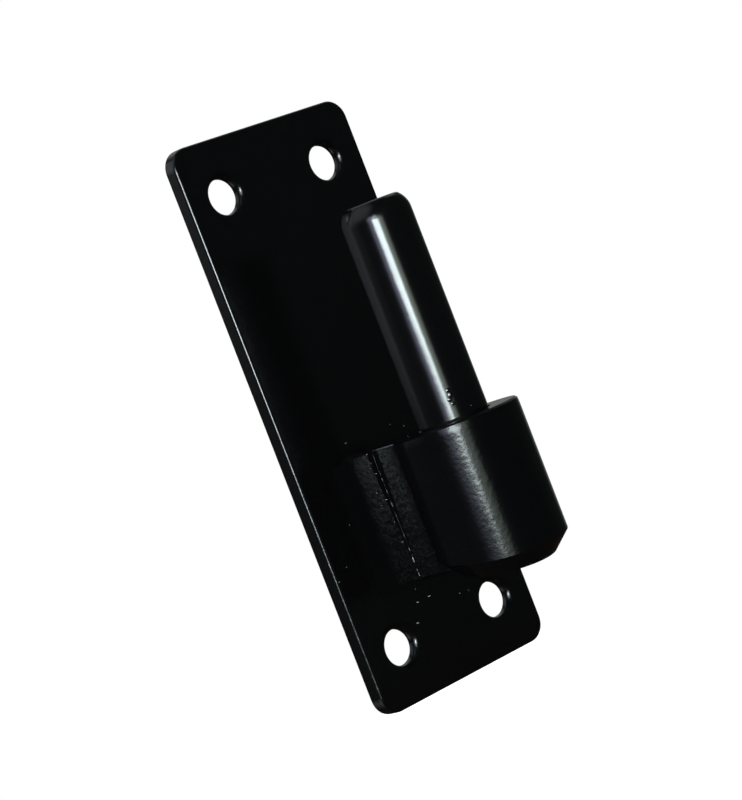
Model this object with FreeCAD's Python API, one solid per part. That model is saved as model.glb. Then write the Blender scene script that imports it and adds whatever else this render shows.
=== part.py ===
import FreeCAD, Part

import math
import os

# The fixed half of an offset door hinge, in millimetres.
# A flat plate with four screw holes carries a spacer web, the web carries a round boss,
# and a plain pin stands up out of the boss for the eye of the moving half.
# The origin is the middle of the plate's back face. +Z runs up along the pin,
# +X is across the plate, and the plate's front looks towards -Y.

# Plate
PLATE_HEIGHT = 100.0
PLATE_WIDTH = 40.0
PLATE_THICKNESS = 3.0
PLATE_CORNER_RADIUS = 3.5
PLATE_EDGE_RADIUS = 0.6
PLATE_BACK_BEVEL = 0.4

# Screw holes, rounded at the front rim and bevelled at the back
HOLE_DIAMETER = 6.2
HOLE_RIM_RADIUS = 1.25
HOLE_BACK_BEVEL = 1.25
HOLE_SIDE_MARGIN = 8.25
HOLE_END_MARGIN = 9.75

# Pin, a round bar with a crowned tip, turned down a little where it is driven into the boss
PIN_DIAMETER = 12.0
PIN_OFFSET = 22.5
PIN_REACH = 38.1
PIN_TIP_LENGTH = 3.1
PIN_TIP_DEPTH = 1.45
PIN_END_RADIUS = 0.9
PIN_SEAT_DIAMETER = 11.6
PIN_SEAT_SHOWS = 0.3

# Boss, a turned collar that the pin is driven into; its wall leans in a little under the top,
# and its foot is ground off a little out of square
BOSS_DIAMETER = 22.0
BOSS_LENGTH = 25.0
BOSS_DROP = 7.6
BOSS_CROWN_LENGTH = 1.4
BOSS_CROWN_DEPTH = 0.1
BOSS_TOP_BEVEL = 0.3
BOSS_FOOT_SLOPE = 8.5
BOSS_FOOT_CHAMFER = 3.0
BORE_CLEARANCE = 0.02
BORE_MOUTH_CHAMFER = 0.6
FOOT_WELD_DEPTH = 4.0

# Spacer web, a short flat bar between the plate and the boss
WEB_THICKNESS = 5.0
WEB_TOP_STEP = 0.7
WEB_FOOT_STEP = 0.9
WEB_EDGE_RADIUS = 0.4

# Weld beads, laid as a row of overlapping ripples
PLATE_WELD_LEG = 3.0
BOSS_WELD_LEG = 1.8
WELD_RIPPLE_PITCH = 2.4
WELD_RIPPLE_DEPTH = 0.35
WELD_CREST_SHARE = 0.4
WELD_END_GAP = 0.8

# A rounding or bevel takes at most this share of the wall that it is cut in
WALL_SHARE = 0.45
# Two heights, depths or directions closer than this are the same
SAME = 1e-4

# Sizes that follow from the driving dimensions
PLATE_FRONT = -PLATE_THICKNESS
PIN_AXIS_Y = -PIN_OFFSET
PIN_RADIUS = PIN_DIAMETER / 2
PIN_SEAT_RADIUS = PIN_SEAT_DIAMETER / 2
BORE_RADIUS = PIN_SEAT_RADIUS + BORE_CLEARANCE
BOSS_RADIUS = BOSS_DIAMETER / 2
BOSS_TOP = -BOSS_DROP
BOSS_FOOT = BOSS_TOP - BOSS_LENGTH
PIN_TOP = BOSS_TOP + PIN_REACH
PIN_SEAT_TOP = BOSS_TOP + PIN_SEAT_SHOWS
PIN_END = BOSS_FOOT + FOOT_WELD_DEPTH
WEB_TOP = BOSS_TOP - WEB_TOP_STEP
WEB_BOTTOM = BOSS_FOOT + WEB_FOOT_STEP
WEB_HEIGHT = WEB_TOP - WEB_BOTTOM
WEB_SIDE = WEB_THICKNESS / 2
CREVICE_Y = PIN_AXIS_Y + math.sqrt(BOSS_RADIUS ** 2 - WEB_SIDE ** 2)
FOOT_RISE_AT_BACK = BOSS_RADIUS * math.tan(math.radians(BOSS_FOOT_SLOPE))

VERTICAL = FreeCAD.Vector(0, 0, 1)
ACROSS = FreeCAD.Vector(1, 0, 0)
FRONT_TO_BACK = FreeCAD.Vector(0, 1, 0)


def round_bar(radius, low, high):
    """A cylinder on the pin's axis from one height to another."""
    return Part.makeCylinder(radius, high - low, FreeCAD.Vector(0, PIN_AXIS_Y, low), VERTICAL)


def point(x, z):
    """A point of an outline in the XZ plane."""
    return FreeCAD.Vector(x, 0, z)


def crowned_bar(radius, low, high, crown_length, crown_depth):
    """A round bar on the pin's axis whose wall curves in towards the top.

    The curve leaves the wall smoothly and ends crown_depth inside it.
    """
    curve = (crown_depth ** 2 + crown_length ** 2) / (2 * crown_depth)
    half_turn = math.asin(crown_length / curve) / 2
    start = high - crown_length
    half_way = point(radius - curve * (1 - math.cos(half_turn)), start + curve * math.sin(half_turn))
    rim = point(radius - crown_depth, high)
    wall = point(radius, start)
    edges = [
        Part.makeLine(point(0, low), point(radius, low)),
        Part.makeLine(point(radius, low), wall),
        Part.Arc(wall, half_way, rim).toShape(),
        Part.makeLine(rim, point(0, high)),
        Part.makeLine(point(0, high), point(0, low)),
    ]
    bar = Part.Face(Part.Wire(edges)).revolve(point(0, 0), VERTICAL, 360)
    bar.translate(FreeCAD.Vector(0, PIN_AXIS_Y, 0))
    return bar


def runs_along(edge, direction):
    """True for a straight edge along the direction."""
    return isinstance(edge.Curve, Part.Line) and abs(edge.Curve.Direction.dot(direction)) > 1 - SAME


def at_height(edge, height):
    """True for an edge that lies flat at the height."""
    box = edge.BoundBox
    return abs(box.ZMin - height) < SAME and abs(box.ZMax - height) < SAME


def at_depth(edge, depth):
    """True for an edge that lies in the plane Y = depth."""
    box = edge.BoundBox
    return abs(box.YMin - depth) < SAME and abs(box.YMax - depth) < SAME


def rounded(shape, radius, wall, choose):
    """The shape with the edges that choose accepts rounded, as far as the wall allows."""
    return shape.makeFillet(min(radius, WALL_SHARE * wall), [edge for edge in shape.Edges if choose(edge)])


def bevelled(shape, size, wall, choose):
    """The shape with the edges that choose accepts bevelled, as far as the wall allows."""
    return shape.makeChamfer(min(size, WALL_SHARE * wall), [edge for edge in shape.Edges if choose(edge)])


def hole_centres():
    """The four screw holes' places, each the same distance in from its corner's two edges."""
    x = PLATE_WIDTH / 2 - HOLE_SIDE_MARGIN
    z = PLATE_HEIGHT / 2 - HOLE_END_MARGIN
    return [(side * x, end * z) for side in (-1, 1) for end in (-1, 1)]


def make_back_plate():
    """A flat plate with rounded corners, eased edges and four screw holes."""
    corner = FreeCAD.Vector(-PLATE_WIDTH / 2, PLATE_FRONT, -PLATE_HEIGHT / 2)
    plate = Part.makeBox(PLATE_WIDTH, PLATE_THICKNESS, PLATE_HEIGHT, corner)
    plate = rounded(plate, PLATE_CORNER_RADIUS, PLATE_WIDTH, lambda edge: runs_along(edge, FRONT_TO_BACK))
    plate = rounded(plate, PLATE_EDGE_RADIUS, PLATE_THICKNESS, lambda edge: at_depth(edge, PLATE_FRONT))
    plate = bevelled(plate, PLATE_BACK_BEVEL, PLATE_THICKNESS, lambda edge: at_depth(edge, 0))
    for x, z in hole_centres():
        start = FreeCAD.Vector(x, PLATE_FRONT, z)
        plate = plate.cut(Part.makeCylinder(HOLE_DIAMETER / 2, PLATE_THICKNESS, start, FRONT_TO_BACK))
    plate = bevelled(plate, HOLE_BACK_BEVEL, PLATE_THICKNESS, lambda edge: edge.Closed and at_depth(edge, 0))
    return rounded(plate, HOLE_RIM_RADIUS, PLATE_THICKNESS,
                   lambda edge: edge.Closed and at_depth(edge, PLATE_FRONT))


def below_foot():
    """Everything under the boss's ground foot, which is lower at the front than at the plate."""
    reach = BOSS_DIAMETER * 2
    start = FreeCAD.Vector(-reach, PIN_AXIS_Y - reach, BOSS_FOOT - reach)
    block = Part.makeBox(2 * reach, 2 * reach, reach, start)
    block.rotate(FreeCAD.Vector(0, PIN_AXIS_Y, BOSS_FOOT), ACROSS, BOSS_FOOT_SLOPE)
    return block


def make_boss():
    """A collar with a crowned and bevelled top, a chamfered foot and a through bore for the pin."""
    overrun = FOOT_RISE_AT_BACK + BOSS_FOOT_CHAMFER
    boss = crowned_bar(BOSS_RADIUS, BOSS_FOOT - overrun, BOSS_TOP, BOSS_CROWN_LENGTH, BOSS_CROWN_DEPTH)
    boss = boss.cut(below_foot())
    foot_edges = [edge for edge in boss.Edges if edge.Closed and edge.BoundBox.ZMin < BOSS_FOOT]
    boss = boss.makeChamfer(BOSS_FOOT_CHAMFER, foot_edges)
    wall = BOSS_RADIUS - BORE_RADIUS
    boss = bevelled(boss, BOSS_TOP_BEVEL, wall, lambda edge: edge.Closed and at_height(edge, BOSS_TOP))
    mouth = Part.makeCone(BORE_RADIUS, BORE_RADIUS + BORE_MOUTH_CHAMFER, BORE_MOUTH_CHAMFER,
                          FreeCAD.Vector(0, PIN_AXIS_Y, BOSS_TOP - BORE_MOUTH_CHAMFER), VERTICAL)
    return boss.cut(round_bar(BORE_RADIUS, BOSS_FOOT - overrun, BOSS_TOP)).cut(mouth)


def make_hinge_pin():
    """A round bar with a thinner seat and a crowned tip whose end is eased."""
    seat = round_bar(PIN_SEAT_RADIUS, PIN_END, PIN_SEAT_TOP)
    pin = crowned_bar(PIN_RADIUS, PIN_SEAT_TOP, PIN_TOP, PIN_TIP_LENGTH, PIN_TIP_DEPTH).fuse(seat)
    return rounded(pin, PIN_END_RADIUS, PIN_TIP_LENGTH, lambda edge: edge.Closed and at_height(edge, PIN_TOP))


def make_spacer_web():
    """A flat bar on edge from the plate's face to the boss, with its front end coped to the boss."""
    start = FreeCAD.Vector(-WEB_SIDE, PIN_AXIS_Y, WEB_BOTTOM)
    bar = Part.makeBox(WEB_THICKNESS, PIN_OFFSET - PLATE_THICKNESS, WEB_HEIGHT, start)
    bar = rounded(bar, WEB_EDGE_RADIUS, WEB_THICKNESS, lambda edge: runs_along(edge, FRONT_TO_BACK))
    return bar.cut(round_bar(BOSS_RADIUS, WEB_BOTTOM, WEB_TOP))


def ripple_outline(low, high, leg):
    """The outline of a bead in the XZ plane: sloping ends joined by a row of shallow crests."""
    valley = leg - WELD_RIPPLE_DEPTH
    first = low + valley
    last = high - valley
    count = max(1, round((last - first) / WELD_RIPPLE_PITCH))
    pitch = (last - first) / count
    flank = pitch * (1 - WELD_CREST_SHARE) / 2
    diagonal = valley * math.sqrt(0.5)
    steps = [point(0, low), point(diagonal, first - diagonal), point(valley, first)]
    for ripple in range(count):
        z = first + ripple * pitch
        steps += [point(leg, z + flank), point(leg, z + pitch - flank), point(valley, z + pitch)]
    steps += [point(diagonal, last + diagonal), point(0, high), point(0, low)]
    return Part.Face(Part.makePolygon(steps))


def ripple_bead(x, y, low, high, leg, start_angle, sweep):
    """A bead along a corner line: the outline turned about the line through the open angle."""
    outline = ripple_outline(low, high, leg)
    outline.rotate(FreeCAD.Vector(0, 0, 0), VERTICAL, start_angle)
    bead = outline.revolve(FreeCAD.Vector(0, 0, 0), VERTICAL, sweep)
    bead.translate(FreeCAD.Vector(x, y, 0))
    return bead


def make_plate_weld():
    """The fillet between the plate's face and the web's right side."""
    low = WEB_BOTTOM + WELD_END_GAP
    high = WEB_TOP - WELD_END_GAP
    return ripple_bead(WEB_SIDE, PLATE_FRONT, low, high, PLATE_WELD_LEG, -90, 90)


def make_boss_weld(side, boss, web):
    """The fillet in the crevice between the boss and one side of the web."""
    low = BOSS_FOOT + FOOT_RISE_AT_BACK + BOSS_FOOT_CHAMFER + WELD_END_GAP
    high = WEB_TOP - WELD_END_GAP
    bead = ripple_bead(side * WEB_SIDE, CREVICE_Y, low, high, BOSS_WELD_LEG, 0, 360)
    return bead.cut(boss).cut(web)


def make_foot_weld():
    """The plug that closes the bore under the pin, ground flush with the boss's foot."""
    return round_bar(BORE_RADIUS, BOSS_FOOT - FOOT_RISE_AT_BACK, PIN_END).cut(below_foot())


def one_solid(shape):
    """The single solid that a piece is made of."""
    (solid,) = shape.Solids
    return solid


def build():
    """All pieces by name."""
    boss = make_boss()
    web = make_spacer_web()
    pieces = {
        "back_plate": make_back_plate(),
        "spacer_web": web,
        "pin_boss": boss,
        "hinge_pin": make_hinge_pin(),
        "plate_weld": make_plate_weld(),
        "boss_weld_left": make_boss_weld(-1, boss, web),
        "boss_weld_right": make_boss_weld(1, boss, web),
        "foot_weld": make_foot_weld(),
    }
    return {name: one_solid(shape) for name, shape in pieces.items()}


os.makedirs("parts", exist_ok=True)
for name, solid in build().items():
    solid.exportStep(f"parts/{name}.step")
    print(f"{name}: {solid.Volume:.1f} mm3, valid {solid.isValid()}")
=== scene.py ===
"""Looks of the fixed half of an offset door hinge: a plate, web, boss and pin in gloss black powder coat.

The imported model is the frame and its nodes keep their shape. This script gives every node its coat, adds the
small forms that a sprayed and baked coat has (the thread in the seam, nibs, blisters and lumps), and sets up
the floor, the lamps and the camera. Lengths are in metres in the part's own frame: +Z up along the pin, the
plate's front at -Y.
"""

import logging
import math
import random
from collections.abc import Iterable, Mapping
from dataclasses import dataclass
from enum import Enum

import bpy
from mathutils import Matrix, Vector


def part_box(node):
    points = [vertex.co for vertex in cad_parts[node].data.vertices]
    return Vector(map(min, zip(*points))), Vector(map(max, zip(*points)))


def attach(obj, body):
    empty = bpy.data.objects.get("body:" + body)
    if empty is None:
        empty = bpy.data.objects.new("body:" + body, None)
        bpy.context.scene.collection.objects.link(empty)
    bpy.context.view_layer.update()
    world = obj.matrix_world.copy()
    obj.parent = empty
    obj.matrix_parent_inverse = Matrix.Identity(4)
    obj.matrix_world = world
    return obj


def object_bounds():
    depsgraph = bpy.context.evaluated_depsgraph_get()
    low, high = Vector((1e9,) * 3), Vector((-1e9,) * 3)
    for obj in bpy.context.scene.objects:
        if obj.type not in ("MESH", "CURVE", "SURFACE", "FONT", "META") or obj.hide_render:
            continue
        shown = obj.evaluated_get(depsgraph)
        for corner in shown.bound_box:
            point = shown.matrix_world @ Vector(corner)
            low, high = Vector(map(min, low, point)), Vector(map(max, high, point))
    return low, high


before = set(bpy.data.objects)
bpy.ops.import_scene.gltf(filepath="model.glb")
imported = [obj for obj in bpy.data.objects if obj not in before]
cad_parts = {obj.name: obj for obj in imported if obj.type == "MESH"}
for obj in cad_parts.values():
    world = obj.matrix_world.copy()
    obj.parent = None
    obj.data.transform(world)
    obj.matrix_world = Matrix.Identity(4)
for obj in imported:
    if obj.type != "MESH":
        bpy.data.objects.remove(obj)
CAD_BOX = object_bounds()

LOG = logging.getLogger("offset_hinge")

MM = 0.001
ROOT_BODY = "root"

# Octaves of a noise that has finer detail than the plain one
FINE_DETAIL = 2.0

# Strength of the boss's mirror image, about half of a clean coat's
BOSS_GLOSS = 0.26

# Colours of the room, the lamps and the glows, linear
WHITE = (1.0, 1.0, 1.0, 1.0)
KEY_TINT = (0.86, 0.98, 1.0)
VIOLET_TINT = (0.66, 0.72, 1.0)
GREEN_TINT = (0.84, 1.0, 0.86)
PALE_TINT = (0.9, 0.97, 1.0)
PALE_GREEN_TINT = (0.9, 1.0, 0.92)

# Azimuths of the row of faint glows behind the part, in degrees
BACK_GLOW_AZIMUTHS = range(-168, -119, 12)


def direction(azimuth: float, elevation: float) -> Vector:
    """The unit vector from the object towards a stand.

    Args:
        azimuth: 0 is in front of the plate (-Y) and 90 on its right (+X), in degrees.
        elevation: Angle above the horizon, in degrees.

    Returns:
        The vector.
    """
    turn = math.radians(azimuth)
    lift = math.radians(elevation)
    return Vector((math.sin(turn) * math.cos(lift), -math.cos(turn) * math.cos(lift), math.sin(lift)))


def looking(place: Vector, back: Vector, roll: float) -> Matrix:
    """The matrix of a camera or lamp whose back faces away from what it looks at.

    Args:
        place: Where it stands.
        back: Unit vector from the object towards it.
        roll: Turn about its own axis, counterclockwise seen from behind it, in degrees.

    Returns:
        The world matrix.
    """
    turn = (-back).to_track_quat("-Z", "Y").to_matrix().to_4x4()
    return Matrix.Translation(place) @ turn @ Matrix.Rotation(math.radians(roll), 4, "Z")


def around(middle: float, fade: tuple[float, float]) -> tuple[float, float]:
    """Both ends of a fade that is given by its distances from a middle."""
    return middle + fade[0], middle + fade[1]


def pin_middle() -> tuple[Vector, float]:
    """The middle of the pin and its radius, in metres."""
    low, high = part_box("hinge_pin")
    return (low + high) / 2, (high.x - low.x) / 2


def deselect_all() -> None:
    """Leaves nothing selected."""
    bpy.ops.object.select_all(action="DESELECT")


class Value:
    """A socket of a shader graph that can be used in Python arithmetic."""

    def __init__(self, graph: "ShaderGraph", socket: bpy.types.NodeSocket | None) -> None:
        """Keeps the graph and the socket.

        Args:
            graph: The graph that the socket belongs to.
            socket: An output socket of one of its nodes, or None for a node that has none.
        """
        self.graph = graph
        self.socket = socket

    def math(self, operation: str, first: "Value | float", second: "Value | float") -> "Value":
        """Adds one Math node.

        Args:
            operation: Blender's name of the operation.
            first: The first operand.
            second: The second operand.

        Returns:
            The node's result.
        """
        return self.graph.node("ShaderNodeMath", {"operation": operation}, {0: first, 1: second})

    def __add__(self, other: "Value | float") -> "Value":
        """Sum."""
        return self.math("ADD", self, other)

    __radd__ = __add__

    def __sub__(self, other: "Value | float") -> "Value":
        """Difference."""
        return self.math("SUBTRACT", self, other)

    def __rsub__(self, other: "Value | float") -> "Value":
        """Difference from a number."""
        return self.math("SUBTRACT", other, self)

    def __mul__(self, other: "Value | float") -> "Value":
        """Product."""
        return self.math("MULTIPLY", self, other)

    __rmul__ = __mul__

    def away_from(self, centre: float) -> "Value":
        """Distance from a number."""
        return self.math("ABSOLUTE", self - centre, 0.0)

    def or_more(self, other: "Value | float") -> "Value":
        """The larger of the two."""
        return self.math("MAXIMUM", self, other)


class ShaderGraph:
    """The nodes of one material or world."""

    def __init__(self, tree: bpy.types.NodeTree) -> None:
        """Starts with an empty tree.

        Args:
            tree: The node tree to fill.
        """
        self.tree = tree
        self.tree.nodes.clear()

    def node(
        self,
        kind: str,
        settings: Mapping[str, object] | None = None,
        inputs: Mapping[str | int, object] | None = None,
        output: str | int = 0,
    ) -> Value:
        """Adds a node, sets it up and links it.

        Args:
            kind: Blender's type name of the node.
            settings: The node's own properties, which are set first.
            inputs: Values or links by socket name or number.
            output: The output socket to return, by name or number.

        Returns:
            The chosen output.
        """
        node = self.tree.nodes.new(kind)
        for name, value in (settings or {}).items():
            setattr(node, name, value)
        for key, value in (inputs or {}).items():
            socket = self.find(node.inputs, key)
            if isinstance(value, Value):
                self.tree.links.new(value.socket, socket)
            else:
                socket.default_value = value
        return Value(self, self.find(node.outputs, output) if len(node.outputs) else None)

    @staticmethod
    def find(sockets: bpy.types.bpy_prop_collection, key: str | int) -> bpy.types.NodeSocket:
        """Picks a socket by number or name, or by identifier where a node repeats its names.

        Args:
            sockets: A node's inputs or outputs.
            key: The number, name or identifier.

        Returns:
            The socket.
        """
        by_identifier = [socket for socket in sockets if socket.identifier == key]
        return by_identifier[0] if by_identifier else sockets[key]

    def spread(self, value: Value, low: float, high: float) -> Value:
        """Maps 0..1 to low..high.

        Args:
            value: The value to map.
            low: Result at 0.
            high: Result at 1.

        Returns:
            The mapped value.
        """
        return value * (high - low) + low

    def step(self, value: Value, start: float, end: float) -> Value:
        """A soft step.

        Args:
            value: The value to test.
            start: Where the result is 0.
            end: Where the result is 1.

        Returns:
            A value from 0 to 1.
        """
        inputs = {"Value": value, "From Min": start, "From Max": end, "To Min": 0.0, "To Max": 1.0}
        return self.node("ShaderNodeMapRange", {"interpolation_type": "SMOOTHSTEP"}, inputs, "Result")

    def mix_colours(self, share: "Value | float", first: object, second: object) -> Value:
        """Blends two colours.

        Args:
            share: How much of the second colour, from 0 to 1.
            first: The first colour.
            second: The second colour.

        Returns:
            The blend.
        """
        inputs = {"Factor_Float": share, "A_Color": first, "B_Color": second}
        return self.node("ShaderNodeMix", {"data_type": "RGBA"}, inputs, "Result_Color")

    def axis(self, place: Value, name: str) -> Value:
        """One coordinate of a place, by its name X, Y or Z."""
        return self.node("ShaderNodeSeparateXYZ", {}, {0: place}, name)

    def vector(self, operation: str, *operands: object, output: str = "Vector") -> Value:
        """Adds one Vector Math node.

        Args:
            operation: Blender's name of the operation.
            operands: The vectors that it works on.
            output: The output to return, Vector or Value.

        Returns:
            The node's result.
        """
        return self.node("ShaderNodeVectorMath", {"operation": operation}, dict(enumerate(operands)), output)

    def within(self, ray: Value, middle: Vector, reach: float, core: float) -> Value:
        """A soft round patch of directions.

        Args:
            ray: The direction to test, of unit length.
            middle: The direction of the patch's middle.
            reach: Half the angle at which the patch has faded out, in degrees.
            core: Half the angle of its even middle, in degrees.

        Returns:
            A value from 0 to 1.
        """
        nearness = self.vector("DOT_PRODUCT", ray, middle, output="Value")
        return self.step(nearness, math.cos(math.radians(reach)), math.cos(math.radians(core)))

    def noise(self, place: Value, size: float, detail: float = 1.0) -> Value:
        """A smooth random value around one half.

        Args:
            place: Object coordinates.
            size: Width of one cell, in metres.
            detail: Octaves of finer noise.

        Returns:
            The value.
        """
        inputs = {"Vector": place, "Scale": 1 / size, "Detail": detail, "Roughness": 0.5}
        return self.node("ShaderNodeTexNoise", {"noise_dimensions": "3D"}, inputs, "Fac")


class CoatSkin(Enum):
    """How the baked coat has flowed out on a piece."""

    FLOWED = "flowed"
    PEEL = "peel"
    MOTTLED = "mottled"
    SATIN = "satin"


@dataclass(frozen=True)
class Ripple:
    """Unevenness of the coat, or of a border in it, at one scale.

    Attributes:
        size: Width of one cell, in metres.
        depth: Height from valley to crest, in metres.
        detail: Octaves of finer noise.
    """

    size: float
    depth: float
    detail: float = 1.0

    def height(self, graph: ShaderGraph, place: Value) -> Value:
        """Height over the valleys.

        Args:
            graph: The material's graph.
            place: Object coordinates.

        Returns:
            The height, in metres.
        """
        return graph.noise(place, self.size, self.detail) * self.depth


SKIN_RIPPLES = {
    CoatSkin.FLOWED: (Ripple(2.4 * MM, 0.012 * MM), Ripple(0.5 * MM, 0.0025 * MM)),
    CoatSkin.PEEL: (Ripple(2.2 * MM, 0.03 * MM), Ripple(0.45 * MM, 0.009 * MM)),
    CoatSkin.MOTTLED: (Ripple(1.6 * MM, 0.02 * MM), Ripple(0.5 * MM, 0.022 * MM)),
    CoatSkin.SATIN: (Ripple(1.6 * MM, 0.014 * MM), Ripple(0.6 * MM, 0.013 * MM)),
}


@dataclass(frozen=True)
class Corner:
    """The upright corner between plate and web, where little powder reaches and the coat stays dull.

    A fade is a pair: where its effect has faded out, and where it is full.

    Attributes:
        left: The web's left face, across the plate, in metres.
        front: The plate's front face, in metres.
        top: The web's top, in metres.
        foot: The web's foot, in metres.
        top_width: Width of the dull strip at the top, in metres.
        foot_width: Width of the dull strip at the foot, in metres.
        strip_fray: Raggedness of the strip's border.
        strip_fade: Fade of the strip, as distances past its width, in metres.
        grain: The grain's size and depth.
        grain_reach: How far the grainy coat reaches from the corner, in metres.
        grain_fray: Raggedness of the grain's border.
        beyond_fade: Fade of the dull coat beyond the grain, as shares of the grain's reach.
        spot_fade: Fade of the dull spots, as levels of the noise.
        spot_dullness: How dull the spots in the grainy coat are, from 0 to 1.
        foot_rise: Height over the foot from which down the foot's dullness is full, in metres.
        foot_dullness: How dull the grainy coat is at the foot, from 0 to 1.
        zone_fade: Fade of the corner's coat, as shares of the grain's reach.
        zone_top: Its fade at the web's top, as heights over it, in metres.
        zone_foot: Its fade at the web's foot, as heights over it, in metres.
        zone_depth: Its fade inside the web and the plate, as depths under their faces, in metres.
    """

    left: float
    front: float
    top: float
    foot: float
    top_width: float = 1.25 * MM
    foot_width: float = 0.3 * MM
    strip_fray: Ripple = Ripple(0.7 * MM, 0.7 * MM)
    strip_fade: tuple[float, float] = (0.45 * MM, 0.15 * MM)
    grain: Ripple = Ripple(0.55 * MM, 0.028 * MM)
    grain_reach: float = 6.5 * MM
    grain_fray: Ripple = Ripple(1.2 * MM, 2.4 * MM, FINE_DETAIL)
    beyond_fade: tuple[float, float] = (0.5, 1.1)
    spot_fade: tuple[float, float] = (0.4, 0.62)
    spot_dullness: float = 0.45
    foot_rise: float = 2 * MM
    foot_dullness: float = 0.36
    zone_fade: tuple[float, float] = (1.8, 1.3)
    zone_top: tuple[float, float] = (0.3 * MM, -0.3 * MM)
    zone_foot: tuple[float, float] = (-0.6 * MM, 0.3 * MM)
    zone_depth: tuple[float, float] = (0.4 * MM, 0.2 * MM)

    def gap(self, graph: ShaderGraph, place: Value) -> Value:
        """Distance from the corner.

        Args:
            graph: The material's graph.
            place: Object coordinates.

        Returns:
            The distance, in metres.
        """
        from_web = graph.axis(place, "X").away_from(self.left)
        from_plate = graph.axis(place, "Y").away_from(self.front)
        return from_web.or_more(from_plate)

    def dullness(self, graph: ShaderGraph, place: Value) -> Value:
        """Where the coat is dull: in the strip, in spots, towards the foot and beyond the grain.

        Args:
            graph: The material's graph.
            place: Object coordinates.

        Returns:
            A value from 0 to 1.
        """
        height = graph.axis(place, "Z")
        width = graph.spread(graph.step(height, self.foot, self.top), self.foot_width, self.top_width)
        past_strip = self.gap(graph, place) + self.strip_fray.height(graph, place) - width
        strip = graph.step(past_strip, *self.strip_fade)
        spot_noise = graph.noise(place, self.grain.size, FINE_DETAIL)
        spots = graph.step(spot_noise, *self.spot_fade) * self.spot_dullness
        sinking = graph.step(height, self.top, self.foot + self.foot_rise) * self.foot_dullness
        from_web = graph.axis(place, "X").away_from(self.left) + self.grain_fray.height(graph, place)
        beyond = graph.step(from_web, *(share * self.grain_reach for share in self.beyond_fade))
        return strip.or_more(beyond).or_more(spots + sinking) * self.zone(graph, place)

    def zone(self, graph: ShaderGraph, place: Value) -> Value:
        """Where the corner's coat differs from the rest.

        Args:
            graph: The material's graph.
            place: Object coordinates.

        Returns:
            A value from 0 to 1.
        """
        near = graph.step(self.gap(graph, place), *(share * self.grain_reach for share in self.zone_fade))
        under_top = graph.step(graph.axis(place, "Z"), *around(self.top, self.zone_top))
        over_foot = graph.step(graph.axis(place, "Z"), *around(self.foot, self.zone_foot))
        left_side = graph.step(graph.axis(place, "X"), *around(self.left, self.zone_depth))
        front_side = graph.step(graph.axis(place, "Y"), *around(self.front, self.zone_depth))
        return near * under_top * over_foot * left_side * front_side

    def grain_height(self, graph: ShaderGraph, place: Value) -> Value:
        """Height of the grain round the corner.

        Args:
            graph: The material's graph.
            place: Object coordinates.

        Returns:
            The height, in metres.
        """
        return self.grain.height(graph, place) * self.zone(graph, place)


@dataclass(frozen=True)
class DullRing:
    """The foot of the pin, where the boss kept the powder off and the coat stays dull.

    Attributes:
        foot: Where the pin's wall begins, in metres.
        height: Height of the dull ring, in metres.
        full: Share of that height up to which it is as dull as it gets.
        fray: Raggedness of its border.
    """

    foot: float
    height: float = 0.62 * MM
    full: float = 0.7
    fray: Ripple = Ripple(1.5 * MM, 0.3 * MM)

    def dullness(self, graph: ShaderGraph, place: Value) -> Value:
        """Where the coat is dull.

        Args:
            graph: The material's graph.
            place: Object coordinates.

        Returns:
            A value from 0 to 1.
        """
        height = graph.axis(place, "Z") + self.fray.height(graph, place)
        return graph.step(height, self.foot + self.height, self.foot + self.height * self.full)


@dataclass(frozen=True)
class PaintedEdgeHighlight:
    """A painted highlight: a pale colour painted along the web's sharp upper left edge, in place of its glint.

    Attributes:
        left: The web's left face, in metres.
        top: The web's top, in metres.
        width: How far the painted highlight reaches on each side of the edge, in metres.
        fade: Width of the border where the painted highlight fades out, in metres.
        fray: Raggedness of that border.
        colour: The painted highlight's colour, linear.
    """

    left: float
    top: float
    width: float = 0.22 * MM
    fade: float = 0.18 * MM
    fray: Ripple = Ripple(0.5 * MM, 0.2 * MM)
    colour: tuple[float, float, float] = (0.08, 0.1, 0.115)

    def highlight_share(self, graph: ShaderGraph, place: Value) -> Value:
        """Where the highlight is painted.

        Args:
            graph: The material's graph.
            place: Object coordinates.

        Returns:
            A value from 0 to 1.
        """
        from_web = graph.axis(place, "X").away_from(self.left)
        from_top = graph.axis(place, "Z").away_from(self.top)
        gap = from_web.or_more(from_top) + self.fray.height(graph, place)
        return graph.step(gap, self.width + self.fade, self.width)


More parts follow.
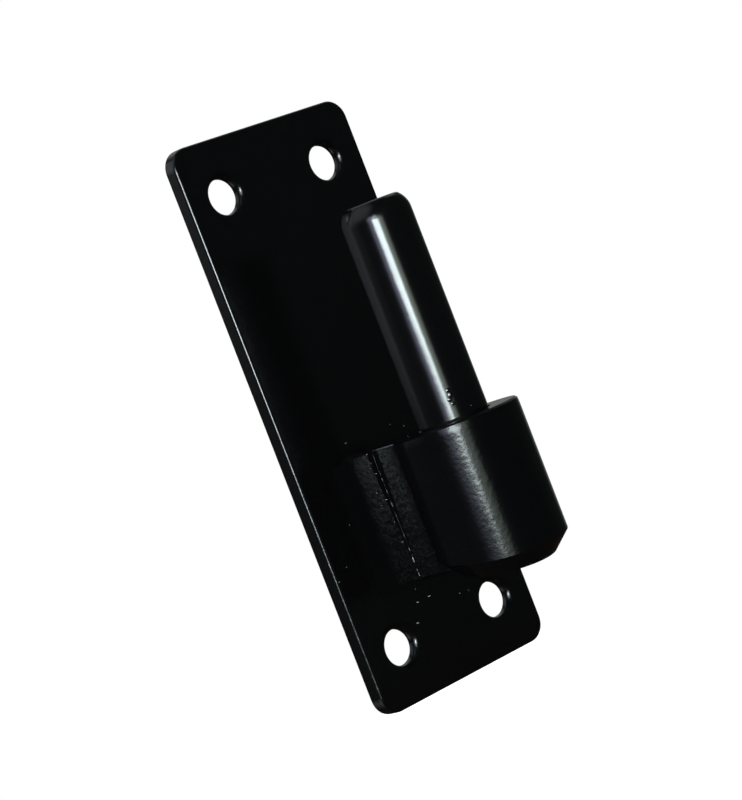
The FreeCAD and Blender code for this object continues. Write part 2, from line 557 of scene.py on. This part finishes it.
@dataclass(frozen=True)
class PaintedSideSheen:
    """A painted sheen: a light grey painted into one side of a round bar, in place of its grazing reflection.

    Attributes:
        axis: The bar's axis, as x and y, in metres.
        radius: The bar's radius, in metres.
        wall: Distances from the axis at which the grey begins and is full, as shares of the radius.
        azimuth: The side's middle, in degrees.
        core: Half the angle that is grey all over, in degrees.
        reach: Half the angle at which it has faded out, in degrees.
        fading: Heights at which the grey is weakest and strongest, in metres.
        weakest: Its share at the weakest.
        grain_size: Width of one grain of the grey, in metres.
        grain_share: The grey's least and greatest share over the grains.
        colour: The painted sheen's grey, linear.
    """

    axis: tuple[float, float]
    radius: float
    wall: tuple[float, float] = (0.82, 0.9)
    azimuth: float = -120.0
    core: float = 9.0
    reach: float = 35.0
    fading: tuple[float, float] = (-10 * MM, 14 * MM)
    weakest: float = 0.45
    grain_size: float = 0.35 * MM
    grain_share: tuple[float, float] = (0.6, 1.4)
    colour: tuple[float, float, float] = (0.0125, 0.0135, 0.0145)

    def sheen_share(self, graph: ShaderGraph, place: Value) -> Value:
        """Where the sheen is painted.

        Args:
            graph: The material's graph.
            place: Object coordinates.

        Returns:
            A value from 0 to 1.
        """
        arm = graph.vector("SUBTRACT", place, (*self.axis, 0.0))
        level = graph.vector("MULTIPLY", arm, (1.0, 1.0, 0.0))
        outward = graph.vector("NORMALIZE", level)
        side = graph.within(outward, direction(self.azimuth, 0.0), self.reach, self.core)
        out = graph.vector("LENGTH", level, output="Value")
        on_wall = graph.step(out, *(share * self.radius for share in self.wall))
        strength = graph.spread(graph.step(graph.axis(place, "Z"), *self.fading), self.weakest, 1.0)
        grain = graph.spread(graph.noise(place, self.grain_size, FINE_DETAIL), *self.grain_share)
        return side * on_wall * strength * grain


@dataclass(frozen=True)
class PowderCoat:
    """Gloss black powder coat.

    Attributes:
        name: The material's name.
        skin: How the coat has flowed out.
        corner: The corner where the coat is dull, if the piece has it.
        ring: The ring where the coat is dull, if the piece has it.
        side_sheen: The side where a sheen is painted into the colour, if the piece has it.
        edge: The edge along which a highlight is painted into the colour, if the piece has it.
        colour: Body colour, linear.
        roughness: Lowest and highest roughness over the surface.
        patch_size: Width of the patches of lower and higher roughness, in metres.
        refraction: The clear binder's index of refraction.
        gloss: Strength of the mirror image; 0.5 is a clean surface.
        dull_roughness: Roughness where the coat is dull.
        dull_gloss: Strength of the mirror image where the coat is dull.
    """

    name: str
    skin: CoatSkin
    corner: Corner | None = None
    ring: DullRing | None = None
    side_sheen: PaintedSideSheen | None = None
    edge: PaintedEdgeHighlight | None = None
    colour: tuple[float, float, float] = (0.0013, 0.0013, 0.0015)
    roughness: tuple[float, float] = (0.14, 0.2)
    patch_size: float = 3 * MM
    refraction: float = 1.5
    gloss: float = 0.5
    dull_roughness: float = 0.55
    dull_gloss: float = 0.1

    def paint(
        self,
        graph: ShaderGraph,
        colour: Value | tuple[float, ...],
        roughness: Value | float,
        gloss: float,
        normal: Value,
    ) -> Value:
        """Adds the shader of the coat in one state.

        Args:
            graph: The material's graph.
            colour: Body colour.
            roughness: Roughness of its face.
            gloss: Strength of the mirror image.
            normal: Direction of its face.

        Returns:
            The shader.
        """
        return graph.node("ShaderNodeBsdfPrincipled", {}, {
            "Base Color": colour,
            "Roughness": roughness,
            "IOR": self.refraction,
            "Specular IOR Level": gloss,
            "Normal": normal,
        })

    def build(self) -> bpy.types.Material:
        """Makes the material.

        Returns:
            The finished material.
        """
        material = bpy.data.materials.new(self.name)
        material.use_nodes = True
        graph = ShaderGraph(material.node_tree)
        place = graph.node("ShaderNodeTexCoord", output="Object")
        wide, fine = SKIN_RIPPLES[self.skin]
        height = wide.height(graph, place) + fine.height(graph, place)
        if self.corner:
            height = height + self.corner.grain_height(graph, place)
        bump = {"Strength": 1.0, "Distance": 1.0, "Height": height}
        normal = graph.node("ShaderNodeBump", {}, bump, "Normal")
        body = (*self.colour, 1.0)
        colour: Value | tuple[float, ...] = body
        # Painted sheen: a grey on the pin's left side, in place of its grazing reflection
        if self.side_sheen:
            colour = graph.mix_colours(self.side_sheen.sheen_share(graph, place), colour, (*self.side_sheen.colour, 1.0))
        # Painted highlight: a pale colour along the web's top edge, in place of its glint
        if self.edge:
            colour = graph.mix_colours(self.edge.highlight_share(graph, place), colour, (*self.edge.colour, 1.0))
        roughness = graph.spread(graph.noise(place, self.patch_size, FINE_DETAIL), *self.roughness)
        surface = self.paint(graph, colour, roughness, self.gloss, normal)
        dull_place = self.corner or self.ring
        if dull_place:
            dull = self.paint(graph, body, self.dull_roughness, self.dull_gloss, normal)
            share = dull_place.dullness(graph, place)
            surface = graph.node("ShaderNodeMixShader", {}, {0: share, 1: surface, 2: dull})
        graph.node("ShaderNodeOutputMaterial", {}, {"Surface": surface})
        return material


@dataclass(frozen=True)
class SoftBox:
    """A flat lamp that faces the object.

    Attributes:
        name: The lamp's name.
        azimuth: Where it stands: 0 is in front of the plate, 90 on its right, in degrees.
        elevation: Its height above the horizon, in degrees.
        wide: Its width as the object sees it, in degrees.
        tall: Its height as the object sees it, in degrees.
        brightness: Radiance of its face; 1 is a white that just doesn't clip.
        colour: Its colour.
        mirrored: Whether gloss shows it, or it only lights what is dull.
        roll: Turn about the line to the object, in degrees.
        distance: How far it stands from the object, in metres.
    """

    name: str
    azimuth: float
    elevation: float
    wide: float
    tall: float
    brightness: float
    colour: tuple[float, float, float] = (1.0, 1.0, 1.0)
    mirrored: bool = True
    roll: float = 0.0
    distance: float = 1.5

    def place(self, target: Vector) -> None:
        """Makes the lamp.

        Args:
            target: The point that it faces.
        """
        lamp = bpy.data.lights.new(self.name, "AREA")
        lamp.shape = "RECTANGLE"
        lamp.size = 2 * self.distance * math.tan(math.radians(self.wide / 2))
        lamp.size_y = 2 * self.distance * math.tan(math.radians(self.tall / 2))
        lamp.energy = self.brightness * math.pi * lamp.size * lamp.size_y
        lamp.color = self.colour
        stand = bpy.data.objects.new(self.name, lamp)
        bpy.context.scene.collection.objects.link(stand)
        stand.visible_camera = False
        stand.visible_glossy = self.mirrored
        back = direction(self.azimuth, self.elevation)
        stand.matrix_world = looking(target + back * self.distance, back, self.roll)


@dataclass(frozen=True)
class Glow:
    """A soft bright patch of the room, as the gloss mirrors it.

    Attributes:
        azimuth: Where its middle lies, in degrees.
        elevation: Its height above the horizon, in degrees.
        core: Half the angle of its even middle, in degrees.
        reach: Half the angle at which it has faded out, in degrees.
        brightness: Radiance of its middle.
        colour: Its colour.
    """

    azimuth: float
    elevation: float
    core: float
    reach: float
    brightness: float
    colour: tuple[float, float, float] = (1.0, 1.0, 1.0)

    def light(self, graph: ShaderGraph, ray: Value) -> Value:
        """The colour that it adds.

        Args:
            graph: The world's graph.
            ray: Direction in which the world is seen.

        Returns:
            A colour.
        """
        patch = graph.within(ray, direction(self.azimuth, self.elevation), self.reach, self.core)
        inputs = {0: self.colour, "Scale": patch * self.brightness}
        return graph.node("ShaderNodeVectorMath", {"operation": "SCALE"}, inputs, "Vector")


@dataclass
class PhotoCamera:
    """The camera at the photograph's viewpoint.

    Attributes:
        azimuth: Where it stands, in degrees; negative is left of the plate's front.
        elevation: Its height above the horizon, in degrees.
        roll: Its turn about its own axis, in degrees.
        distance: From the camera to the aim, in metres.
        aim: The point at the picture's middle.
        lens: Focal length for a 36 mm sensor along the picture's long side, in millimetres.
        clip: Nearest and farthest distance that it shows, in metres.
    """

    azimuth: float = -40.995
    elevation: float = 2.258
    roll: float = -21.2
    distance: float = 469.98 * MM
    aim: tuple[float, float, float] = (-8.766 * MM, -14.881 * MM, 0.205 * MM)
    lens: float = 129.14
    clip: tuple[float, float] = (0.01, 50.0)

    def place(self) -> None:
        """Makes the camera and gives it to the scene."""
        data = bpy.data.cameras.new("photo_camera")
        data.lens = self.lens
        data.clip_start, data.clip_end = self.clip
        camera = bpy.data.objects.new("photo_camera", data)
        bpy.context.scene.collection.objects.link(camera)
        back = direction(self.azimuth, self.elevation)
        camera.matrix_world = looking(Vector(self.aim) + back * self.distance, back, self.roll)
        bpy.context.scene.camera = camera


@dataclass
class Studio:
    """Floor, room and lamps.

    Attributes:
        floor_drop: How far the floor lies below the plate's foot, in metres.
        floor_size: Side of the floor, in metres.
        room: Brightness of the dark room that the gloss mirrors.
        white: Brightness of the background for the camera.
        paper: The floor's colour.
        paper_glow: Light that the floor adds for the camera alone; 1 is white.
        floor_mirror: The floor's colour in the gloss.
        pale_patch: Middle of the pale patch of the floor that the hole rims mirror, in metres.
        pale_reach: Where that patch has faded out and where it is full, in metres from its middle.
        pale_mirror: Its colour in the gloss.
    """

    floor_drop: float = 110 * MM
    floor_size: float = 1.2
    room: tuple[float, float, float] = (0.029, 0.033, 0.032)
    white: float = 1.0
    paper: tuple[float, float, float] = (0.8, 0.8, 0.8)
    paper_glow: float = 0.9
    floor_mirror: tuple[float, float, float] = (0.024, 0.018, 0.012)
    pale_patch: tuple[float, float, float] = (-300 * MM, 110 * MM, 0.0)
    pale_reach: tuple[float, float] = (260 * MM, 60 * MM)
    pale_mirror: tuple[float, float, float] = (0.72, 0.8, 0.82)

    lamps = (
        SoftBox("key_softbox", azimuth=-49.2, elevation=2.1, wide=18.5, tall=10.2, brightness=29.0,
                colour=KEY_TINT, roll=-21.2),
        SoftBox("fill_softbox", azimuth=-15.0, elevation=50.0, wide=50.0, tall=50.0, brightness=3.2,
                mirrored=False),
        SoftBox("side_fill", azimuth=-115.0, elevation=10.0, wide=40.0, tall=40.0, brightness=5.0,
                mirrored=False),
    )
    glows = (
        Glow(azimuth=-62.0, elevation=8.0, core=6.0, reach=15.0, brightness=3.4, colour=VIOLET_TINT),
        Glow(azimuth=-35.0, elevation=2.0, core=3.0, reach=13.0, brightness=3.4, colour=GREEN_TINT),
        Glow(azimuth=-48.0, elevation=13.0, core=4.0, reach=9.5, brightness=6.0, colour=KEY_TINT),
        Glow(azimuth=-156.0, elevation=24.0, core=7.0, reach=24.0, brightness=0.5, colour=PALE_TINT),
        *(Glow(azimuth, elevation=13.0, core=5.0, reach=18.0, brightness=0.12, colour=PALE_TINT)
          for azimuth in BACK_GLOW_AZIMUTHS),
        Glow(azimuth=-104.0, elevation=48.0, core=14.0, reach=42.0, brightness=0.5, colour=PALE_TINT),
        Glow(azimuth=-224.0, elevation=48.0, core=14.0, reach=36.0, brightness=0.5),
        Glow(azimuth=-228.0, elevation=4.0, core=10.0, reach=26.0, brightness=0.22, colour=PALE_GREEN_TINT),
    )

    def light_world(self) -> None:
        """White behind the object for the camera, a dark room with soft glows for everything else."""
        world = bpy.data.worlds.new("studio")
        world.use_nodes = True
        bpy.context.scene.world = world
        graph = ShaderGraph(world.node_tree)
        ray = graph.node("ShaderNodeTexCoord", output="Generated")
        colour = Vector(self.room)
        for glow in self.glows:
            colour = graph.vector("ADD", colour, glow.light(graph, ray))
        room = graph.node("ShaderNodeBackground", {}, {"Color": colour, "Strength": 1.0})
        white = graph.node("ShaderNodeBackground", {}, {"Color": WHITE, "Strength": self.white})
        seen = graph.node("ShaderNodeLightPath", output="Is Camera Ray")
        both = graph.node("ShaderNodeMixShader", {}, {0: seen, 1: room, 2: white})
        graph.node("ShaderNodeOutputWorld", {}, {"Surface": both})

    def floor_material(self) -> bpy.types.Material:
        """Pale paper that keeps the object's shadow, and that the gloss shows dark but for one pale patch.

        Returns:
            The material.
        """
        material = bpy.data.materials.new("pale_floor")
        material.use_nodes = True
        graph = ShaderGraph(material.node_tree)
        paper = graph.node("ShaderNodeBsdfDiffuse", {}, {"Color": (*self.paper, 1.0)})
        seen = graph.node("ShaderNodeLightPath", output="Is Camera Ray")
        glow = graph.node("ShaderNodeEmission", {}, {"Color": WHITE, "Strength": seen * self.paper_glow})
        pale = graph.node("ShaderNodeAddShader", {}, {0: paper, 1: glow})
        place = graph.node("ShaderNodeTexCoord", output="Object")
        far = graph.vector("DISTANCE", place, self.pale_patch, output="Value")
        share = graph.step(far, *self.pale_reach)
        colour = graph.mix_colours(share, (*self.floor_mirror, 1.0), (*self.pale_mirror, 1.0))
        dark = graph.node("ShaderNodeEmission", {}, {"Color": colour, "Strength": 1.0})
        mirrored = graph.node("ShaderNodeLightPath", output="Is Glossy Ray")
        surface = graph.node("ShaderNodeMixShader", {}, {0: mirrored, 1: pale, 2: dark})
        graph.node("ShaderNodeOutputMaterial", {}, {"Surface": surface})
        return material

    def lay_floor(self, low: float) -> None:
        """Lays the floor under the object.

        Args:
            low: Height of the object's lowest point, in metres.
        """
        deselect_all()
        bpy.ops.mesh.primitive_plane_add(size=self.floor_size, location=(0.0, 0.0, low - self.floor_drop))
        floor = bpy.context.object
        floor.name = "floor"
        floor.data.materials.append(self.floor_material())

    def build(self) -> None:
        """Makes the room, the floor and the lamps."""
        low, high = CAD_BOX
        self.light_world()
        self.lay_floor(low.z)
        for lamp in self.lamps:
            lamp.place((low + high) / 2)
        bpy.context.scene.view_settings.view_transform = "Standard"


def finish_piece(piece: bpy.types.Object, name: str, coat: bpy.types.Material) -> None:
    """Puts a new piece's place into its mesh, dresses it and hands it to the frame.

    Args:
        piece: The modelled piece.
        name: Its name.
        coat: Its material.
    """
    deselect_all()
    piece.select_set(True)
    bpy.context.view_layer.objects.active = piece
    bpy.ops.object.transform_apply(location=True, rotation=True, scale=True)
    bpy.ops.object.shade_smooth()
    piece.name = name
    piece.data.name = name
    piece.data.materials.clear()
    piece.data.materials.append(coat)
    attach(piece, ROOT_BODY)
    LOG.info("%s: %d faces", name, len(piece.data.polygons))


class Surface(Enum):
    """What a fleck of the coat sits on."""

    PLATE_FRONT = "plate front"
    SEAM = "seam"
    PIN_WALL = "pin wall"


@dataclass(frozen=True)
class Fleck:
    """A nib, blister or lump of the coat.

    Attributes:
        surface: What it sits on.
        across: Its place across: x on the plate, the azimuth in degrees on the pin, unused in the seam.
        height: Its height, in metres.
        radius: Half its width, in metres.
        rise: Its height, as a share of the height that the profile gives it.
        stretch: Its length along the part's upright, in widths.
    """

    surface: Surface
    across: float
    height: float
    radius: float
    rise: float = 1.0
    stretch: float = 1.0


@dataclass
class CoatFlecks:
    """The nibs, blisters and lumps of the coat that show in the light.

    Attributes:
        sides: Number of sides of a fleck.
        profile: Radii and heights of a fleck's rings, from its skirt to its crown, in radii of its foot.
        root_depth: How far a fleck's foot lies under the face, in radii.
        seam_lift: How far a fleck in the seam stands off the corner, in radii.
        seam_azimuth: The direction in which a fleck in the seam faces, in degrees.
    """

    sides: int = 18
    profile: tuple[tuple[float, float], ...] = (
        (0.94, 0.03),
        (0.84, 0.12),
        (0.26, 0.7),
        (0.16, 0.77),
        (0.06, 0.8),
    )
    root_depth: float = 0.08
    seam_lift: float = 0.6
    seam_azimuth: float = -45.0

    plate = (
        Fleck(Surface.PLATE_FRONT, -2.05 * MM, -34.8 * MM, 0.44 * MM),
        Fleck(Surface.PLATE_FRONT, -4.85 * MM, -34.86 * MM, 0.46 * MM),
        Fleck(Surface.PLATE_FRONT, -6.5 * MM, -38.0 * MM, 0.42 * MM),
        Fleck(Surface.PLATE_FRONT, -4.4 * MM, -32.7 * MM, 0.2 * MM),
        Fleck(Surface.PLATE_FRONT, -19.2 * MM, -26.0 * MM, 0.3 * MM),
        Fleck(Surface.PLATE_FRONT, -7.06 * MM, -5.4 * MM, 0.24 * MM),
        Fleck(Surface.PLATE_FRONT, -12.85 * MM, -18.2 * MM, 0.16 * MM),
        Fleck(Surface.PLATE_FRONT, -16.6 * MM, -24.3 * MM, 0.2 * MM),
        Fleck(Surface.PLATE_FRONT, 4.54 * MM, -36.7 * MM, 0.25 * MM),
        Fleck(Surface.PLATE_FRONT, 6.7 * MM, -36.9 * MM, 0.25 * MM),
        Fleck(Surface.PLATE_FRONT, 6.5 * MM, -6.7 * MM, 0.22 * MM),
        Fleck(Surface.PLATE_FRONT, 3.7 * MM, -5.5 * MM, 0.2 * MM),
    )
    seam = (
        Fleck(Surface.PLATE_FRONT, -3.6 * MM, -8.6 * MM, 0.26 * MM),
        Fleck(Surface.PLATE_FRONT, -3.4 * MM, -10.3 * MM, 0.22 * MM),
        Fleck(Surface.PLATE_FRONT, -3.95 * MM, -11.0 * MM, 0.29 * MM),
        Fleck(Surface.PLATE_FRONT, -3.2 * MM, -12.2 * MM, 0.26 * MM),
        Fleck(Surface.PLATE_FRONT, -4.6 * MM, -15.2 * MM, 0.26 * MM),
        Fleck(Surface.PLATE_FRONT, -3.14 * MM, -16.9 * MM, 0.36 * MM),
        Fleck(Surface.PLATE_FRONT, -4.6 * MM, -17.5 * MM, 0.23 * MM),
        Fleck(Surface.PLATE_FRONT, -3.29 * MM, -20.9 * MM, 0.25 * MM),
        Fleck(Surface.PLATE_FRONT, -3.2 * MM, -24.5 * MM, 0.33 * MM),
        Fleck(Surface.SEAM, 0.0, -13.8 * MM, 0.17 * MM, 0.5, 3.6),
        Fleck(Surface.SEAM, 0.0, -18.3 * MM, 0.21 * MM, 0.5, 3.2),
        Fleck(Surface.SEAM, 0.0, -26.4 * MM, 0.19 * MM, 0.5, 3.0),
        Fleck(Surface.SEAM, 0.0, -28.5 * MM, 0.25 * MM, 0.5, 4.0),
        Fleck(Surface.SEAM, 0.0, -31.0 * MM, 0.21 * MM, 0.5, 3.2),
    )
    pin = (
        Fleck(Surface.PIN_WALL, -35.5, -2.6 * MM, 0.42 * MM, 0.22),
        Fleck(Surface.PIN_WALL, -34.5, -3.4 * MM, 0.4 * MM, 0.2, 1.3),
        Fleck(Surface.PIN_WALL, -38.0, -4.1 * MM, 0.46 * MM, 0.22),
        Fleck(Surface.PIN_WALL, -35.5, -4.9 * MM, 0.36 * MM, 0.24),
        Fleck(Surface.PIN_WALL, -7.3, -6.3 * MM, 0.28 * MM, 0.75),
    )

    def model_fleck(self) -> bpy.types.Object:
        """Models one fleck of unit radius, drawn up ring by ring from its foot.

        Returns:
            The fleck.
        """
        deselect_all()
        bpy.ops.mesh.primitive_circle_add(vertices=self.sides, radius=1.0, fill_type="NGON")
        bpy.ops.object.mode_set(mode="EDIT")
        bpy.ops.mesh.select_all(action="SELECT")
        last_radius, last_height = 1.0, -self.root_depth
        bpy.ops.transform.translate(value=(0.0, 0.0, last_height))
        for radius, height in self.profile:
            rise = (0.0, 0.0, height - last_height)
            bpy.ops.mesh.extrude_region_move(TRANSFORM_OT_translate={"value": rise})
            shrink = radius / last_radius
            bpy.ops.transform.resize(value=(shrink, shrink, 1.0), center_override=(0.0, 0.0, height))
            last_radius, last_height = radius, height
        bpy.ops.mesh.select_all(action="SELECT")
        bpy.ops.mesh.normals_make_consistent(inside=False)
        bpy.ops.object.mode_set(mode="OBJECT")
        return bpy.context.object

    def seat(self, fleck: Fleck, corner: Corner) -> Matrix:
        """Where a fleck goes.

        Args:
            fleck: The fleck.
            corner: The corner between plate and web.

        Returns:
            The matrix that places the unit fleck.
        """
        if fleck.surface is Surface.PLATE_FRONT:
            normal = direction(0.0, 0.0)
            place = Vector((fleck.across, corner.front, fleck.height))
        elif fleck.surface is Surface.SEAM:
            normal = direction(self.seam_azimuth, 0.0)
            place = Vector((corner.left, corner.front, fleck.height)) + normal * fleck.radius * self.seam_lift
        else:
            normal = direction(fleck.across, 0.0)
            middle, radius = pin_middle()
            place = Vector((middle.x, middle.y, fleck.height)) + normal * radius
        up = Vector((0.0, 0.0, 1.0))
        turn = Matrix((up.cross(normal), up, normal)).transposed().to_4x4()
        size = Matrix.Diagonal((fleck.radius, fleck.radius * fleck.stretch, fleck.radius * fleck.rise, 1.0))
        return Matrix.Translation(place) @ turn @ size

    def scatter(self, name: str, flecks: Iterable[Fleck], corner: Corner, coat: bpy.types.Material) -> None:
        """Copies the modelled fleck to each place and joins the copies.

        Args:
            name: Name of the joined piece.
            flecks: The flecks.
            corner: The corner between plate and web.
            coat: Their material.
        """
        pattern = self.model_fleck()
        copies = []
        for fleck in flecks:
            copy = pattern.copy()
            copy.data = pattern.data.copy()
            bpy.context.scene.collection.objects.link(copy)
            copy.matrix_world = self.seat(fleck, corner)
            copies.append(copy)
        bpy.data.objects.remove(pattern)
        deselect_all()
        for copy in copies:
            copy.select_set(True)
        bpy.context.view_layer.objects.active = copies[0]
        bpy.ops.object.join()
        finish_piece(bpy.context.object, name, coat)

    def build(self, corner: Corner, coat: bpy.types.Material) -> None:
        """Makes all the flecks.

        Args:
            corner: The corner between plate and web.
            coat: Their material.
        """
        self.scatter("plate_coat_nibs", self.plate, corner, coat)
        self.scatter("seam_coat_blisters", self.seam, corner, coat)
        self.scatter("pin_coat_lumps", self.pin, corner, coat)


@dataclass
class SeamThread:
    """The thread of coat that has run together in the corner between plate and web.

    Attributes:
        top_radius: Its mean radius at the web's top, in metres.
        foot_radius: Its mean radius at the web's foot, in metres.
        sides: Number of sides of the thread.
        pitch: Length of one step of the thread, in metres.
        unevenness: How much its radius varies, as a share.
        end_margin: How far it ends from the web's ends, in metres.
        seed: Seed of the variation.
    """

    top_radius: float = 0.035 * MM
    foot_radius: float = 0.06 * MM
    sides: int = 12
    pitch: float = 0.4 * MM
    unevenness: float = 0.7
    end_margin: float = 0.5 * MM
    seed: int = 11

    def mean_radius(self, height: float, corner: Corner) -> float:
        """Radius of an even thread at a height.

        Args:
            height: The height, in metres.
            corner: The corner.

        Returns:
            The radius, in metres.
        """
        share = (height - corner.foot) / (corner.top - corner.foot)
        return self.foot_radius + (self.top_radius - self.foot_radius) * share

    def build(self, corner: Corner, coat: bpy.types.Material) -> None:
        """Draws the thread down the corner step by step.

        Args:
            corner: The corner.
            coat: Its material.
        """
        draw = random.Random(self.seed)
        top = corner.top - self.end_margin
        steps = int((top - corner.foot - self.end_margin) / self.pitch)
        radius = self.mean_radius(top, corner)
        deselect_all()
        bpy.ops.mesh.primitive_circle_add(vertices=self.sides, radius=radius, fill_type="NGON",
                                          location=(corner.left, corner.front, top))
        bpy.ops.object.mode_set(mode="EDIT")
        bpy.ops.mesh.select_all(action="SELECT")
        for step in range(1, steps + 1):
            height = top - step * self.pitch
            wanted = self.mean_radius(height, corner) * (1 + draw.uniform(-self.unevenness, self.unevenness))
            fall = (0.0, 0.0, -self.pitch)
            bpy.ops.mesh.extrude_region_move(TRANSFORM_OT_translate={"value": fall})
            middle = (corner.left, corner.front, height)
            bpy.ops.transform.resize(value=(wanted / radius, wanted / radius, 1.0), center_override=middle)
            radius = wanted
        bpy.ops.mesh.select_all(action="SELECT")
        bpy.ops.mesh.normals_make_consistent(inside=False)
        bpy.ops.object.mode_set(mode="OBJECT")
        finish_piece(bpy.context.object, "seam_coat_thread", coat)


def coat_node(name: str, coat: bpy.types.Material) -> None:
    """Gives one CAD node its coat.

    Args:
        name: The node's name.
        coat: The material.
    """
    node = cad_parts[name]
    node.data.materials.clear()
    node.data.materials.append(coat)
    LOG.info("%s: %s", name, coat.name)


def dress_nodes(corner: Corner) -> None:
    """Gives every CAD node the coat that the photograph shows on it.

    Args:
        corner: The corner between plate and web.
    """
    middle, radius = pin_middle()
    ring = DullRing(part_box("pin_boss")[1].z)
    # A sheen painted on the pin's side, in place of its grazing reflection
    side_sheen = PaintedSideSheen((middle.x, middle.y), radius)
    # A highlight painted along the web's top edge, in place of its glint
    edge = PaintedEdgeHighlight(corner.left, corner.top)
    mottled = PowderCoat("mottled_black_coat", CoatSkin.MOTTLED, corner).build()
    coats = {
        "back_plate": PowderCoat("peeled_black_coat", CoatSkin.PEEL, corner).build(),
        "hinge_pin": PowderCoat("flowed_black_coat", CoatSkin.FLOWED, ring=ring, side_sheen=side_sheen).build(),
        "pin_boss": PowderCoat("satin_black_coat", CoatSkin.SATIN, gloss=BOSS_GLOSS).build(),
        "spacer_web": PowderCoat("web_black_coat", CoatSkin.MOTTLED, corner, edge=edge).build(),
    }
    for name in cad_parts:
        coat_node(name, coats.get(name, mottled))


def main() -> None:
    """Builds the scene piece by piece."""
    logging.basicConfig(level=logging.INFO, format="%(name)s: %(message)s")
    PhotoCamera().place()
    Studio().build()
    web_low, web_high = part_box("spacer_web")
    plate_low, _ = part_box("back_plate")
    corner = Corner(web_low.x, plate_low.y, web_high.z, web_low.z)
    dress_nodes(corner)
    clean = PowderCoat("clean_black_coat", CoatSkin.SATIN).build()
    SeamThread().build(corner, clean)
    CoatFlecks().build(corner, clean)


if __name__ == "__main__":
    main()
